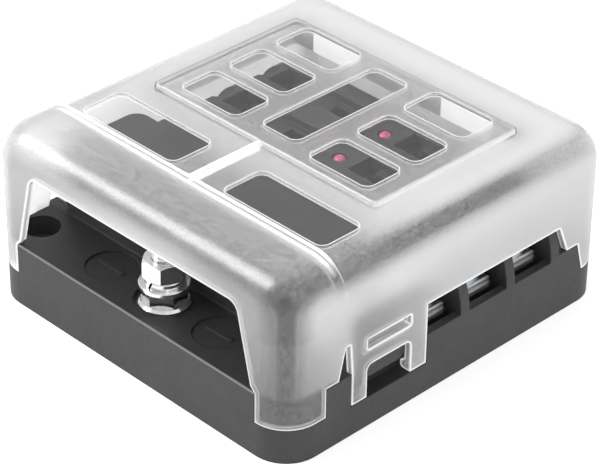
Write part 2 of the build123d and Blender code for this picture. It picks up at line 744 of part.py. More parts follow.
def jaw(x, y, foot_z):
    # Two spring leaves that grip one fuse blade, leaning in to a neck and flared at the tip.
    neck_z = JAW_TOP - JAW_FLARE_H
    foot, neck, tip = JAW_FOOT_GAP / 2, JAW_NECK_GAP / 2, JAW_TIP_GAP / 2
    leaf = [(y + foot, foot_z), (y + foot + JAW_T, foot_z), (y + foot + JAW_T, foot_z + JAW_BEND),
            (y + neck + JAW_T, neck_z), (y + tip + JAW_T, JAW_TOP), (y + tip, JAW_TOP),
            (y + neck, neck_z), (y + foot, foot_z + JAW_BEND_IN)]
    one = prism_x(leaf, x - JAW_W / 2, x + JAW_W / 2)
    return one + mirror(one, Plane.XZ.offset(-y))


def make_strip():
    # The bus strip: an eye under the stud, a tongue back and two wings of jaws.
    z0, z1 = strip_top - STRIP_T, strip_top
    eye = rise(rounded_plan(-EYE_HALF, EYE_HALF, stud_y - EYE_FRONT, 0, EYE_R), z0, z1)
    wings = rise(rounded_plan(-strip_half, strip_half, row_ys[0] - STRIP_FRONT, strip_rear, STRIP_R),
                 z0, z1)
    strip = eye + wings
    for y in row_ys:
        for side in (-1, 1):
            strip = strip + jaw(side * blade_xs[0], y, z1 - JAW_ROOT)
    strip = strip + slab(-PIN_W / 2, PIN_W / 2, strip_pin_y - PIN_W / 2, strip_pin_y + PIN_W / 2,
                         z0, pin_top)
    strip = strip - rod(0, stud_y, 0, BASE_TOP, STUD_D + 2 * METAL_GAP)
    for y in fin_ys[:-1]:
        strip = strip - rod(0, y, 0, strip_top + 1, SMALL_SCREW_D + 4 * THREAD_GAP)
    return strip


def make_terminal(side, y):
    # One output terminal: a tapped plate that runs inwards to the outer blade's jaw.
    z0, z1 = floor_z, terminal_top
    plan = rounded_plan(terminal_in, terminal_out, y - TERMINAL_HALF, y + TERMINAL_HALF,
                        TERMINAL_CORNER_R)
    plate = rise(plan, z0, z1)
    plate = plate + jaw(blade_xs[1], y, z1 - JAW_ROOT)
    plate = plate - rod(terminal_screw_x, y, 0, BLOCK_TOP, TERMINAL_SCREW_D + 2 * THREAD_GAP)
    pin = slab(pin_x - PIN_W / 2, pin_x + PIN_W / 2, y - PIN_W / 2, y + PIN_W / 2, z0,
               pin_top)
    link = slab(pin_x - PIN_W / 2, terminal_in + 1, y - PIN_W / 2, y + PIN_W / 2, z0, z1)
    plate = plate + pin + link
    return plate if side > 0 else mirror(plate, Plane.YZ)


def make_clamp(side, y):
    # The washer under a terminal screw: round inside and square towards the wire.
    x = terminal_screw_x
    plate = rod(x, y, terminal_top, clamp_top, 2 * CLAMP_HALF)
    plate = plate + slab(x, x + CLAMP_HALF, y - CLAMP_HALF, y + CLAMP_HALF, terminal_top, clamp_top)
    plate = chamfer(plate.faces().sort_by(Axis.Z)[-1].edges(), CLAMP_BEVEL)
    plate = plate - rod(x, y, 0, BLOCK_TOP, TERMINAL_SCREW_D + 2 * METAL_GAP)
    return plate if side > 0 else mirror(plate, Plane.YZ)


def cross(x, y, z):
    # The cross recess in a screw's head.
    one = Box(CROSS_L, CROSS_W, CROSS_DEEP, align=(Align.CENTER, Align.CENTER, Align.MAX))
    two = Box(CROSS_W, CROSS_L, CROSS_DEEP, align=(Align.CENTER, Align.CENTER, Align.MAX))
    return Pos(x, y, z) * (one + two)


def make_terminal_screw(side, y):
    x = side * terminal_screw_x
    head = rod(x, y, clamp_top, clamp_top + SCREW_HEAD_H, SCREW_HEAD_D)
    head = fillet(head.faces().sort_by(Axis.Z)[-1].edges(), SCREW_HEAD_R)
    tip_z = terminal_top - TERMINAL_SCREW_L + SCREW_TIP_GAP
    shank = rod(x, y, tip_z, clamp_top + SHANK_ROOT, TERMINAL_SCREW_D)
    shank = chamfer(shank.faces().sort_by(Axis.Z)[0].edges(), SCREW_TIP_BEVEL)
    return head + shank - cross(x, y, clamp_top + SCREW_HEAD_H)


# Indicator board

def make_board():
    flat = rounded_plan(-board_half, board_half, board_front, board_rear,
                        BOARD_CORNER_R)
    board = rise(flat, board_under, BOARD_TOP)
    cuts = []
    for y in row_ys:
        for side in (-1, 1):
            for x in blade_xs:
                cx = side * x
                cuts.append(slab(cx - BOARD_SLOT_L / 2, cx + BOARD_SLOT_L / 2, y - BOARD_SLOT_W / 2,
                                 y + BOARD_SLOT_W / 2, 0, BLOCK_TOP))
            cuts.append(rod(side * pin_x, y, 0, BLOCK_TOP, PIN_W * square_to_round + 2 * THREAD_GAP))
            for k in (-1, 1):
                cuts.append(rod(side * LED_X, y + LED_SHIFT + k * LED_LEG_PITCH / 2, 0, BLOCK_TOP,
                                LED_LEG_W * square_to_round + 2 * THREAD_GAP))
    cuts.append(rod(0, strip_pin_y, 0, BLOCK_TOP, PIN_W * square_to_round + 2 * THREAD_GAP))
    for y in fin_ys[:-1]:
        cuts.append(rod(0, y, 0, BLOCK_TOP, POST_D + 2 * METAL_GAP))
        for side in (-1, 1):
            cuts.append(rod(side * blade_mid, y, 0, BLOCK_TOP, SMALL_SCREW_D + 4 * THREAD_GAP))
    for cut in cuts:
        board = board - cut
    return board


def make_led(side, y):
    # One round lamp on its two legs.
    x, cy = side * LED_X, y + LED_SHIFT
    r = LED_D / 2
    body = rod(x, cy, BOARD_TOP, BOARD_TOP + LED_H - r, LED_D)
    body = body + Pos(x, cy, BOARD_TOP + LED_H - r) * Sphere(r)
    body = body + rod(x, cy, BOARD_TOP, BOARD_TOP + LED_RIM_H, LED_RIM_D)
    for k in (-1, 1):
        ly = cy + k * LED_LEG_PITCH / 2
        body = body + slab(x - LED_LEG_W / 2, x + LED_LEG_W / 2, ly - LED_LEG_W / 2,
                           ly + LED_LEG_W / 2, BOARD_TOP - LED_LEG_L, BOARD_TOP + LED_LEG_ROOT)
    return body


def make_chip(side, y):
    # One series resistor, a chip soldered under the board.
    x, cy = side * chip_x, y + CHIP_SHIFT
    chip = slab(x - CHIP_W / 2, x + CHIP_W / 2, cy - CHIP_L / 2, cy + CHIP_L / 2,
                board_under - CHIP_H, board_under)
    return chamfer(chip.faces().sort_by(Axis.Z)[0].edges(), CHIP_BEVEL)


# Underside plate and small screws

def make_plate():
    plate = rise(plate_plan(PLATE_GAP), PLATE_SINK, plate_top)
    for side in (-1, 1):
        for end in (-1, 1):
            x, y = side * PLATE_SCREW_X, end * plate_screw_y
            plate = plate - rod(x, y, 0, plate_top + 1, PLATE_SCREW_D + 2 * METAL_GAP)
            sink = Cone((PLATE_HEAD_D + 2 * METAL_GAP) / 2, (PLATE_SCREW_D + 2 * METAL_GAP) / 2,
                        (PLATE_HEAD_D - PLATE_SCREW_D) / 2,
                        align=(Align.CENTER, Align.CENTER, Align.MIN))
            plate = plate - Pos(x, y, PLATE_SINK) * sink
    return plate


def plate_screw(x, y):
    # A countersunk screw, flush with the plate, driven upwards.
    cone_h = (PLATE_HEAD_D - PLATE_SCREW_D) / 2
    head = Pos(x, y, PLATE_SINK) * Cone(PLATE_HEAD_D / 2, PLATE_SCREW_D / 2, cone_h,
                                        align=(Align.CENTER, Align.CENTER, Align.MIN))
    shank = rod(x, y, PLATE_SINK + SHANK_ROOT, PLATE_SINK + PLATE_SCREW_L, PLATE_SCREW_D)
    slot = Box(PLATE_CROSS_L, SMALL_CROSS_W, 2 * PLATE_CROSS_DEEP)
    other = Box(SMALL_CROSS_W, PLATE_CROSS_L, 2 * PLATE_CROSS_DEEP)
    return head + shank - Pos(x, y, PLATE_SINK) * (slot + other)


def small_screw(x, y, seat, length):
    # A pan head screw driven upwards against a seat.
    head = rod(x, y, seat - SMALL_HEAD_H, seat, SMALL_HEAD_D)
    head = fillet(head.faces().sort_by(Axis.Z)[0].edges(), SMALL_HEAD_R)
    shank = rod(x, y, seat - SHANK_ROOT, seat + length, SMALL_SCREW_D)
    slot = Box(SMALL_CROSS_L, SMALL_CROSS_W, 2 * SMALL_CROSS_DEEP)
    other = Box(SMALL_CROSS_W, SMALL_CROSS_L, 2 * SMALL_CROSS_DEEP)
    return head + shank - Pos(x, y, seat - SMALL_HEAD_H) * (slot + other)


def all_nodes():
    # Every node of the model by its name.
    nodes = {"base": make_base(), "cover": make_cover(), "input_stud": make_stud(),
             "flange_nut": make_flange_nut(),
             "flat_washer": make_ring(washer_z, WASHER_T, WASHER_D),
             "spring_washer": make_spring_washer(), "top_nut": make_top_nut(),
             "bus_strip": make_strip(), "indicator_board": make_board(),
             "back_plate": make_plate()}
    for side, name in ((1, "right"), (-1, "left")):
        for i, y in enumerate(row_ys):
            nodes[f"terminal_{name}_{i + 1}"] = make_terminal(side, y)
            nodes[f"clamp_washer_{name}_{i + 1}"] = make_clamp(side, y)
            nodes[f"terminal_screw_{name}_{i + 1}"] = make_terminal_screw(side, y)
            nodes[f"led_{name}_{i + 1}"] = make_led(side, y)
            nodes[f"resistor_{name}_{i + 1}"] = make_chip(side, y)
    corners = [(sx * PLATE_SCREW_X, sy * plate_screw_y) for sx in (-1, 1) for sy in (-1, 1)]
    nodes["plate_screws"] = Compound([plate_screw(x, y) for x, y in corners])
    nodes["board_screws"] = Compound([small_screw(s * blade_mid, y, board_under,
                                                  BOARD_SCREW_L)
                                      for s in (-1, 1) for y in board_screw_ys])
    nodes["strip_screws"] = Compound([small_screw(0, y, strip_top - STRIP_T, SMALL_SCREW_L)
                                      for y in fin_ys[:-1]])
    return nodes


os.makedirs("parts", exist_ok=True)
for node, shape in all_nodes().items():
    shape.label = node
    export_step(shape, f"parts/{node}.step")
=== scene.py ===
"""Looks of a six way blade fuse box with a frosted clip-on cover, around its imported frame."""

import logging
import math
from dataclasses import dataclass, field
from enum import Enum

import bpy
from mathutils import Matrix, Vector


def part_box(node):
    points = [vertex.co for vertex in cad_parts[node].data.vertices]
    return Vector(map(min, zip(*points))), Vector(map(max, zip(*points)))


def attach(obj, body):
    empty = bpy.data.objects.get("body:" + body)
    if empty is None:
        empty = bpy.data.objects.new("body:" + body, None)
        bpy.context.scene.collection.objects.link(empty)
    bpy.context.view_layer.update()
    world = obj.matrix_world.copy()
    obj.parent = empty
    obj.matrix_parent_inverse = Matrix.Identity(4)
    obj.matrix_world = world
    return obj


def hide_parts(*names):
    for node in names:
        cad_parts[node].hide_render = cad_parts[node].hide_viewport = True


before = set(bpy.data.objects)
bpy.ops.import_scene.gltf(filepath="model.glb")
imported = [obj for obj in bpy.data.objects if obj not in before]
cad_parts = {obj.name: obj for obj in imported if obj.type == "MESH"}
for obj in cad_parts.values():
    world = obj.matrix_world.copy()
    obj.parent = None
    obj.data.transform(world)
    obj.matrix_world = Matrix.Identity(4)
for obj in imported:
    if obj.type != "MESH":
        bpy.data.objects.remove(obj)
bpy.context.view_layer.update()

logging.basicConfig(level=logging.INFO, format="%(message)s")
log = logging.getLogger("fuse_box")

Socket = bpy.types.NodeSocket
Numbers = tuple[float, ...]

MM = 0.001
IMAGE_WIDTH_PX = 600
SENSOR_MM = 36.0
# Most of a noise's values lie in this part of its range.
NOISE_SPAN = (0.3, 0.7)
# A line is solid up to the first share of its width from its middle, and gone at the second.
LINE_SHARES = (0.35, 0.65)
# A blend of two colours takes them, and gives the result, at these places of the Mix node.
COLOUR_BELOW, COLOUR_ABOVE, COLOUR_OUT = 6, 7, 2
# A blend of two numbers takes them at these.
NUMBER_BELOW, NUMBER_ABOVE = 2, 3


class Plating(Enum):
    """The metal coats of the small hardware."""

    NICKEL = "nickel plated steel"
    ZINC = "zinc plated steel"
    TIN = "tin plated brass"


def linear(hex_code: str) -> tuple[float, float, float, float]:
    """Turn an sRGB colour into the linear one that a shader takes.

    Args:
        hex_code: The colour as six hexadecimal digits.

    Returns:
        Red, green, blue and an alpha of one.
    """
    parts = [int(hex_code[i:i + 2], 16) / 255 for i in (0, 2, 4)]
    red, green, blue = (c / 12.92 if c <= 0.04045 else ((c + 0.055) / 1.055) ** 2.4 for c in parts)
    return red, green, blue, 1.0


def add(tree: bpy.types.NodeTree, kind: str, *ordered: object, inputs: dict | None = None,
        out: str | int | None = 0, **options: object) -> Socket | bpy.types.NodeOutputs:
    """Add a node with its settings and links.

    Args:
        tree: The node tree that takes it.
        kind: The node's Blender type without its ShaderNode prefix, and its operation after
            a colon where it has one.
        *ordered: A constant or an output socket for each of its first inputs.
        inputs: Constants and output sockets for other inputs, by name or number.
        out: The name or number of the output to give back, or None for all outputs.
        **options: Attributes of the node itself, such as its samples.

    Returns:
        The output socket, or all of them.
    """
    name, _, operation = kind.partition(":")
    node = tree.nodes.new("ShaderNode" + name)
    if operation:
        node.operation = operation
    for option, value in options.items():
        setattr(node, option, value)
    for place, value in {**dict(enumerate(ordered)), **(inputs or {})}.items():
        if isinstance(value, Socket):
            tree.links.new(value, node.inputs[place])
        else:
            node.inputs[place].default_value = value
    return node.outputs if out is None else node.outputs[out]


def metres(ramp: Numbers) -> Numbers:
    """Turn a ramp over millimetres, as two distances and their two values, into one over metres."""
    start, end, low, high = ramp
    return start * MM, end * MM, low, high


def lay_over(tree: bpy.types.NodeTree, layers: list[tuple[Socket, str]],
             colour: Socket | Numbers) -> Socket:
    """Lay colours over another one, each by its own amount.

    Args:
        tree: The material's tree.
        layers: The amount and the sRGB colour of each layer, from the lowest up.
        colour: The colour that they lie on, as a socket or a linear constant.

    Returns:
        The resulting colour.
    """
    for amount, above in layers:
        inputs = {0: amount, COLOUR_BELOW: colour, COLOUR_ABOVE: linear(above)}
        colour = add(tree, "Mix", inputs=inputs, out=COLOUR_OUT, data_type="RGBA")
    return colour


def mark_line(tree: bpy.types.NodeTree, distance: Socket, middle_mm: float,
              width_mm: float) -> Socket:
    """Mark a soft line where a distance has one value.

    Args:
        tree: The material's tree.
        distance: The distance, in metres.
        middle_mm: The distance at the line's middle.
        width_mm: The line's width.

    Returns:
        One on the line and nought beside it.
    """
    away = add(tree, "Math:ABSOLUTE", add(tree, "Math:SUBTRACT", distance, middle_mm * MM))
    solid, gone = (width_mm * MM * share for share in LINE_SHARES)
    return add(tree, "MapRange", away, solid, gone, 1, 0)


@dataclass(frozen=True)
class Window:
    """A rounded rectangle in the plan, such as a polished window, in millimetres."""

    span: Numbers
    radius: float = 2.0

    def outside(self, tree: bpy.types.NodeTree, plan: Socket) -> Socket:
        """Give the distance outside the rectangle.

        Args:
            tree: The material's tree.
            plan: The place in the plan, in metres, with no height.

        Returns:
            The distance in metres, below nought inside.
        """
        x0, x1, y0, y1 = (v * MM for v in self.span)
        radius = self.radius * MM
        middle = ((x0 + x1) / 2, (y0 + y1) / 2, 0)
        half = ((x1 - x0) / 2 - radius, (y1 - y0) / 2 - radius, 0)
        off = add(tree, "VectorMath:SUBTRACT", plan, middle)
        off = add(tree, "VectorMath:ABSOLUTE", off)
        off = add(tree, "VectorMath:SUBTRACT", off, half)
        apart = add(tree, "SeparateXYZ", off, out=None)
        deepest = add(tree, "Math:MAXIMUM", apart["X"], apart["Y"])
        inner = add(tree, "Math:MINIMUM", deepest, 0.0)
        off = add(tree, "VectorMath:MAXIMUM", off, (0, 0, 0))
        outer = add(tree, "VectorMath:LENGTH", off, out="Value")
        return add(tree, "Math:SUBTRACT", add(tree, "Math:ADD", outer, inner), radius)


@dataclass(frozen=True)
class Finish:
    """What every finish shares: a name, and patterns that have a real size on the piece."""

    name: str

    def start(self) -> tuple[bpy.types.Material, bpy.types.NodeTree]:
        """Make a material whose tree is empty.

        Returns:
            The material and its tree.
        """
        material = bpy.data.materials.new(self.name)
        material.use_nodes = True
        material.node_tree.nodes.clear()
        return material, material.node_tree

    def grain(self, tree: bpy.types.NodeTree, size_mm: float, detail: float = 2.0,
              roughness: float = 0.5) -> Socket:
        """Give a noise whose grains have a real size and move with the piece.

        Args:
            tree: The material's tree.
            size_mm: The size of one grain.
            detail: How many finer layers it has.
            roughness: How strong the finer layers are.

        Returns:
            The noise's value, from nought to one.
        """
        inputs = {"Vector": add(tree, "TexCoord", out="Object"), "Scale": 1.0 / (size_mm * MM),
                  "Detail": detail, "Roughness": roughness}
        return add(tree, "TexNoise", inputs=inputs, out="Fac")

    def cloud(self, tree: bpy.types.NodeTree, pattern: Socket, dark: str, pale: str) -> Socket:
        """Blend two colours by a noise.

        Args:
            tree: The material's tree.
            pattern: The noise.
            dark: The sRGB colour at its low values.
            pale: The sRGB colour at its high values.

        Returns:
            The colour.
        """
        amount = add(tree, "MapRange", pattern, *NOISE_SPAN, 0, 1)
        return lay_over(tree, [(amount, pale)], linear(dark))

    def relief(self, tree: bpy.types.NodeTree, height: Socket, depth_mm: float,
               strength: float, edge_mm: float = 0.0) -> Socket:
        """Turn a height into a normal, with edges softened by their real radius.

        Args:
            tree: The material's tree.
            height: The height, from nought to one.
            depth_mm: How deep the full height is.
            strength: How much of it shows.
            edge_mm: The radius of the moulded or tumbled edges.

        Returns:
            The normal.
        """
        inputs = {"Height": height, "Distance": depth_mm * MM, "Strength": strength}
        if edge_mm:
            inputs["Normal"] = add(tree, "Bevel", edge_mm * MM, samples=4)
        return add(tree, "Bump", inputs=inputs, out="Normal")


@dataclass(frozen=True)
class MouldedNylon(Finish):
    """Black glass filled nylon, injection moulded in a spark eroded tool.

    The tool leaves an even fine grain, so the black has a soft grey sheen and no mirror,
    and the glass fibres show as faint paler clouds. The deck before the block is darkened
    with painted shade, standing in for the hood's shade, its front top edge has a painted
    highlight, and the two round signs on it, each with a minus bar, have outlines of
    painted shade.
    """

    dark: str = "2f2f30"
    pale: str = "39393a"
    # Painted shade on the deck before the block, standing in for the hood's shade.
    deck: str = "1b1b1c"
    # Painted shade in the outlines of the signs and their bars.
    painted_groove_shade: str = "0c0c0d"
    # Painted highlight along the deck's front top edge.
    painted_edge_highlight: str = "8e8e90"
    # The grain is drawn coarser than the tool's, so that it shows.
    grain_mm: float = 0.35
    grain_depth_mm: float = 0.02
    grain_strength: float = 0.15
    cloud_mm: float = 6.0
    edge_mm: float = 0.35
    deck_top_mm: float = 14.3
    deck_rear_mm: float = -30.4
    deck_ramp_mm: Numbers = (0.4, 0.5, 1, 0)
    front_mm: float = -45.0
    # Where the painted highlight on the front top edge fades.
    painted_highlight_ramp_mm: Numbers = (0.2, 0.4, 1, 0)
    sign_mm: Numbers = (15.6, -36.3, 5.35)
    sign_line_mm: float = 0.5
    bar_half_mm: Numbers = (3.7, 0.6)
    bar_line_mm: float = 0.4
    rough_range: Numbers = (0.42, 0.56)

    def signs(self, tree: bpy.types.NodeTree, folded: Socket) -> Socket:
        """Mark the outlines of the round signs and their bars, where shade is painted.

        Args:
            tree: The material's tree.
            folded: The place in the plan, with the left half folded onto the right.

        Returns:
            One on the outlines and nought beside them.
        """
        x, y, radius = self.sign_mm
        long, half = self.bar_half_mm
        ring = Window((x - radius, x + radius, y - radius, y + radius), radius)
        bar = Window((x - long, x + long, y - half, y + half), half)
        ring_line = mark_line(tree, ring.outside(tree, folded), 0.0, self.sign_line_mm)
        bar_line = mark_line(tree, bar.outside(tree, folded), 0.0, self.bar_line_mm)
        return add(tree, "Math:MAXIMUM", ring_line, bar_line)

    def make(self) -> bpy.types.Material:
        """Build the material.

        Returns:
            The material.
        """
        material, tree = self.start()
        at = add(tree, "SeparateXYZ", add(tree, "TexCoord", out="Object"), out=None)
        side = add(tree, "Math:ABSOLUTE", at["X"])
        folded = add(tree, "CombineXYZ", side, at["Y"])
        # Where the deck's painted shade lies; the sign outlines are kept to it too.
        off_top = add(tree, "Math:SUBTRACT", at["Z"], self.deck_top_mm * MM)
        off_top = add(tree, "Math:ABSOLUTE", off_top)
        deck = add(tree, "MapRange", off_top, *metres(self.deck_ramp_mm))
        before_block = add(tree, "Math:LESS_THAN", at["Y"], self.deck_rear_mm * MM)
        deck = add(tree, "Math:MULTIPLY", deck, before_block)
        # A painted highlight on a thin strip either side of the deck's front top edge.
        off_front = add(tree, "Math:SUBTRACT", at["Y"], self.front_mm * MM)
        off_edge = add(tree, "Math:ADD", off_front, off_top)
        edge = add(tree, "MapRange", off_edge, *metres(self.painted_highlight_ramp_mm))
        # Painted shade along the sign outlines, on the deck only.
        marks = add(tree, "Math:MULTIPLY", self.signs(tree, folded), deck)
        colour = self.cloud(tree, self.grain(tree, self.cloud_mm, 4.0, 0.6), self.dark, self.pale)
        grain = self.grain(tree, self.grain_mm)
        shader = add(tree, "BsdfPrincipled", inputs={
            "Base Color": lay_over(tree, [(deck, self.deck), (edge, self.painted_edge_highlight),
                                          (marks, self.painted_groove_shade)], colour),
            "Roughness": add(tree, "MapRange", grain, *NOISE_SPAN, *self.rough_range),
            "Normal": self.relief(tree, grain, self.grain_depth_mm, self.grain_strength,
                                  self.edge_mm),
            "IOR": 1.53,
            "Specular IOR Level": 0.5,
        })
        add(tree, "OutputMaterial", shader, out=None)
        return material


@dataclass(frozen=True)
class CoverSpot:
    """Where a shaded point of the cover lies and how it faces, as sockets.

    Attributes:
        x: Its place to the right, in metres.
        y: Its place to the rear.
        z: Its height.
        side: How far it is from the middle, to the right or left.
        folded: Its place in the plan, with the left half folded onto the right.
        up: How much it faces up, below nought where it faces down.
        upness: How much it faces up or down.
        squareness: How much it faces one of the box's own directions.
        bend: One on a bend and nought on a flat wall.
        lying: One on a level wall and nought on an upright one.
        roof: One from the roof's height up.
        pad: The distance outside the raised pad.
        any_corner: The distance from the nearer front corner, in the plan.
        near_corner: The distance from the right front corner, in the plan.
        low: One on the legs by the front corners, below the base's deck.
    """

    x: Socket
    y: Socket
    z: Socket
    side: Socket
    folded: Socket
    up: Socket
    upness: Socket
    squareness: Socket
    bend: Socket
    lying: Socket
    roof: Socket
    pad: Socket
    any_corner: Socket
    near_corner: Socket
    low: Socket


@dataclass(frozen=True)
class CoverMarks:
    """What is marked on the cover, as sockets from nought to one.

    Attributes:
        window: The polished windows.
        white: The cut edges, rims, ridges and near sides of the pad's step, painted white and
            glowing, as painted light where light would leave the wall.
        dark: The far sides of the pad's step, where shade is painted.
        solid: The white and the dark marks together.
    """

    window: Socket
    white: Socket
    dark: Socket
    solid: Socket


@dataclass(frozen=True)
class FrostedPolycarbonate(Finish):
    """Clear polycarbonate, moulded with a frosted skin and nine polished windows.

    The frosted skin spreads light, so it is milky and what is behind it is a soft shade.
    The windows were polished in the tool, so they are clear. The cut edges, the near sides
    of the pad's step, the window rims and the ridges are painted white and made to glow,
    as painted light standing in for light caught in the wall that leaves there. The bends,
    where the wall is seen at a slant, and the legs by the front corners are clearer and so
    darker; painted shade darkens the walls and legs by the near front corner and the far
    sides of the pad's step.

    Each ramp is two values of what it reads, then the two results at them. A rim, a step
    and the blotch of painted shade are lines, each with its middle and its width. What is
    in millimetres says so in its name.
    """

    skin: str = "fcfcfc"
    # Painted shade on the far sides of the pad's step.
    step: str = "9a9b9b"
    # Painted shade by the near front corner.
    painted_shade: str = "aeaeae"
    speck: str = "bcbcbc"

    windows: tuple[Window, ...] = ()
    pad: Numbers = ()
    crest: Numbers = ()
    corner: Numbers = ()
    inside: Numbers = ()

    roof_mm: float = 33.0
    cut_mm: float = 33.2
    pad_radius_mm: float = 1.0
    window_ramp_mm: Numbers = (-0.05, 0.05, 1, 0)
    rim_mm: Numbers = (0.15, 0.2)
    # Share of the painted white glow on the window rims.
    painted_rim_glow: float = 0.75
    step_mm: Numbers = (-0.1, 0.5)
    # Share of painted glow on the near sides of the pad's step.
    painted_step_glow: float = 0.4
    far_share: float = 0.97
    underside: float = -0.3
    rib_half_mm: float = 0.45
    ridge_ramp: Numbers = (0.7, 0.95, 0, 1)
    edge_mm: float = 1.0
    edge_ramp: Numbers = (0.93, 0.975, 1, 0)

    bend_ramp: Numbers = (0.82, 0.99, 1, 0)
    lying_ramp: Numbers = (0.2, 0.8, 0, 1)
    tall_ramp: Numbers = (0.1, 0.35, 0.35, 1)
    wall_ramp_mm: Numbers = (6, 50, 0.85, 0.2)
    low_ramp_mm: Numbers = (14.1, 14.5, 1, 0)
    low_reach_mm: float = 14.0
    low_through: float = 0.95
    roof_through: float = 0.92
    border_through: float = 0.12
    border_ramp_mm: Numbers = (0, 6, 0, 1)
    border_start_mm: Numbers = (-12, 14)
    ball_ramp: Numbers = (0.62, 0.8, 0.92, 0.88)
    mottle_mm: float = 0.7
    mottle_range: Numbers = (0.84, 1.08)

    # The frost is drawn coarser than it is, so that it shows.
    grain_mm: float = 0.3
    rough_range: Numbers = (0.34, 0.44)
    smooth_ramp: Numbers = (0.3, 0.8, 1.0, 0.84)
    window_rough: float = 0.03
    coat: float = 0.6
    coat_rough: float = 0.22

    # Where the painted shade by the near front corner lies: on the walls, in a blotch and on the
    # legs.
    painted_shade_ramp_mm: Numbers = (6, 30, 0.7, 0)
    blotch_mm: Numbers = (31.5, 12.0)
    blotch_ramp_mm: Numbers = (6, 12, 1, 0)
    leg_ramp_mm: Numbers = (12, 16, 1, 0)
    painted_leg_shade: float = 0.7
    speck_mm: float = 0.4
    speck_ramp: Numbers = (0.35, 0.65, 0, 1)
    speck_bend_ramp: Numbers = (0.2, 0.9, 0.06, 0.7)

    wall_glow: float = 0.15
    inner_glow: float = 1.0
    roof_glow: float = 0.08
    # Strength of the painted glow on the white marks.
    edge_light: float = 0.45
    shadow: float = 0.05

    def spot(self, tree: bpy.types.NodeTree) -> CoverSpot:
        """Work out where a shaded point lies and how it faces.

        Args:
            tree: The material's tree.

        Returns:
            Its sockets.
        """
        at = add(tree, "SeparateXYZ", add(tree, "TexCoord", out="Object"), out=None)
        side = add(tree, "Math:ABSOLUTE", at["X"])
        folded = add(tree, "CombineXYZ", side, at["Y"])
        plan = add(tree, "CombineXYZ", at["X"], at["Y"])
        normal = add(tree, "NewGeometry", out="Normal")
        facing = add(tree, "SeparateXYZ", add(tree, "VectorMath:ABSOLUTE", normal), out=None)
        squareness = add(tree, "Math:MAXIMUM", facing["X"], facing["Y"])
        squareness = add(tree, "Math:MAXIMUM", squareness, facing["Z"])
        corner = tuple(v * MM for v in (*self.corner, 0))
        any_corner = add(tree, "VectorMath:DISTANCE", folded, corner, out="Value")
        low = add(tree, "MapRange", at["Z"], *metres(self.low_ramp_mm))
        by_corner = add(tree, "Math:LESS_THAN", any_corner, self.low_reach_mm * MM)
        return CoverSpot(
            x=at["X"], y=at["Y"], z=at["Z"], side=side, folded=folded,
            up=add(tree, "SeparateXYZ", normal, out="Z"),
            upness=facing["Z"],
            squareness=squareness,
            bend=add(tree, "MapRange", squareness, *self.bend_ramp),
            lying=add(tree, "MapRange", facing["Z"], *self.lying_ramp),
            roof=add(tree, "Math:GREATER_THAN", at["Z"], self.roof_mm * MM),
            pad=Window(self.pad, self.pad_radius_mm).outside(tree, plan),
            any_corner=any_corner,
            near_corner=add(tree, "VectorMath:DISTANCE", plan, corner, out="Value"),
            low=add(tree, "Math:MULTIPLY", low, by_corner))

    def cut_edges(self, tree: bpy.types.NodeTree, spot: CoverSpot) -> Socket:
        """Mark the strips beside the sharp edges below the roof, to be painted white and glow.

        Args:
            tree: The material's tree.
            spot: The shaded point.

        Returns:
            One in the strips and nought beyond them.
        """
        soft = add(tree, "Bevel", self.edge_mm * MM, samples=8)
        sharp = add(tree, "NewGeometry", out="Normal")
        same = add(tree, "VectorMath:DOT_PRODUCT", soft, sharp, out="Value")
        strip = add(tree, "MapRange", same, *self.edge_ramp)
        below = add(tree, "Math:LESS_THAN", spot.z, self.cut_mm * MM)
        return add(tree, "Math:MULTIPLY", strip, below)

    def ridges(self, tree: bpy.types.NodeTree, spot: CoverSpot) -> Socket:
        """Mark the tops of the crest across the hood and of the rib between the front windows,
        which take a painted white glow.

        Args:
            tree: The material's tree.
            spot: The shaded point.

        Returns:
            One on the ridges and nought beside them.
        """
        front, rear = self.crest
        off_crest = add(tree, "Math:SUBTRACT", spot.y, (front + rear) / 2 * MM)
        crest = mark_line(tree, off_crest, 0.0, rear - front)
        rib = add(tree, "Math:LESS_THAN", spot.side, self.rib_half_mm * MM)
        before_pad = add(tree, "Math:LESS_THAN", spot.y, self.pad[2] * MM)
        behind_crest = add(tree, "Math:GREATER_THAN", spot.y, front * MM)
        rib = add(tree, "Math:MULTIPLY", add(tree, "Math:MULTIPLY", rib, before_pad), behind_crest)
        level = add(tree, "MapRange", spot.up, *self.ridge_ramp)
        ridge = add(tree, "Math:MULTIPLY", add(tree, "Math:MAXIMUM", crest, rib), level)
        return add(tree, "Math:MULTIPLY", ridge, spot.roof)

    def steps(self, tree: bpy.types.NodeTree, spot: CoverSpot) -> tuple[Socket, Socket]:
        """Mark the pad's step, with painted shade at its far sides and painted glow at its near
        ones.

        Args:
            tree: The material's tree.
            spot: The shaded point.

        Returns:
            The pale part and the dark part.
        """
        step = add(tree, "Math:MULTIPLY", mark_line(tree, spot.pad, *self.step_mm), spot.roof)
        outer = add(tree, "Math:GREATER_THAN", spot.up, self.underside)
        step = add(tree, "Math:MULTIPLY", step, outer)
        # The left and rear sides of the step get painted shade, the others a painted glow.
        left = add(tree, "Math:LESS_THAN", spot.x, self.pad[0] * MM * self.far_share)
        rear = add(tree, "Math:GREATER_THAN", spot.y, self.pad[3] * MM * self.far_share)
        dark = add(tree, "Math:MULTIPLY", step, add(tree, "Math:MAXIMUM", left, rear))
        pale = add(tree, "Math:MULTIPLY", add(tree, "Math:SUBTRACT", step, dark), self.painted_step_glow)
        return pale, dark

